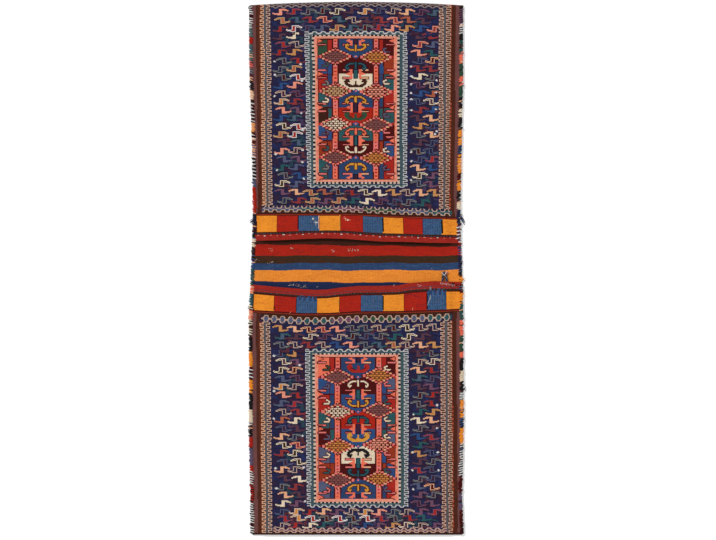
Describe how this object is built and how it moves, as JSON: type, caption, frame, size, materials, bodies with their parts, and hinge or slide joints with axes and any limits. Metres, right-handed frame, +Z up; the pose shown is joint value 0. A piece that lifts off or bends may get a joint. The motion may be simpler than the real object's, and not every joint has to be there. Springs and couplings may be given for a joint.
{
  "type": "kilim bag",
  "caption": "Woven double saddlebag lying flat: one strip folded into two open pouches joined by a striped bridge, with side seams laced in coloured yarn.",
  "frame": {"origin": "middle of the bag's footprint, on the surface that it lies on", "axes": "+X across the bag, +Y along it towards the upper pouch's fold, +Z up out of the patterned pouch fronts"},
  "size_m": [0.5748, 1.4, 0.0159],
  "materials": {
    "woven_wool": "dense weft-wrapped and slit-woven wool in navy, madder, teal, coral, orange and cream",
    "lacing_yarn": "plied wool yarn wrapped over the seam in lengths of changing colour",
    "loop_cord": "worn plied goat-hair and wool cord"
  },
  "bodies": {
    "root": {"closure_loop_stub": "loop_cord", "left_bridge_binding_1": "lacing_yarn", "left_bridge_binding_2": "lacing_yarn", "left_lower_binding_1": "lacing_yarn", "left_lower_binding_2": "lacing_yarn", "left_lower_binding_3": "lacing_yarn", "left_lower_binding_4": "lacing_yarn", "left_lower_binding_5": "lacing_yarn", "left_lower_binding_6": "lacing_yarn", "left_lower_binding_7": "lacing_yarn", "left_lower_binding_8": "lacing_yarn", "left_lower_binding_9": "lacing_yarn", "left_upper_binding_1": "lacing_yarn", "left_upper_binding_2": "lacing_yarn", "left_upper_binding_3": "lacing_yarn", "left_upper_binding_4": "lacing_yarn", "left_upper_binding_5": "lacing_yarn", "left_upper_binding_6": "lacing_yarn", "left_upper_binding_7": "lacing_yarn", "left_upper_binding_8": "lacing_yarn", "left_upper_binding_9": "lacing_yarn", "right_bridge_binding_1": "lacing_yarn", "right_bridge_binding_2": "lacing_yarn", "right_lower_binding_1": "lacing_yarn", "right_lower_binding_2": "lacing_yarn", "right_lower_binding_3": "lacing_yarn", "right_lower_binding_4": "lacing_yarn", "right_lower_binding_5": "lacing_yarn", "right_lower_binding_6": "lacing_yarn", "right_lower_binding_7": "lacing_yarn", "right_lower_binding_8": "lacing_yarn", "right_lower_binding_9": "lacing_yarn", "right_upper_binding_1": "lacing_yarn", "right_upper_binding_2": "lacing_yarn", "right_upper_binding_3": "lacing_yarn", "right_upper_binding_4": "lacing_yarn", "right_upper_binding_5": "lacing_yarn", "right_upper_binding_6": "lacing_yarn", "right_upper_binding_7": "lacing_yarn", "right_upper_binding_8": "lacing_yarn", "right_upper_binding_9": "lacing_yarn", "woven_cloth": "woven_wool", "yarn_end_left_lower": "lacing_yarn", "yarn_end_left_upper": "lacing_yarn", "yarn_end_right_bridge": "lacing_yarn", "yarn_end_right_lower": "lacing_yarn", "yarn_end_right_upper": "lacing_yarn"}
  },
  "joints": []
}
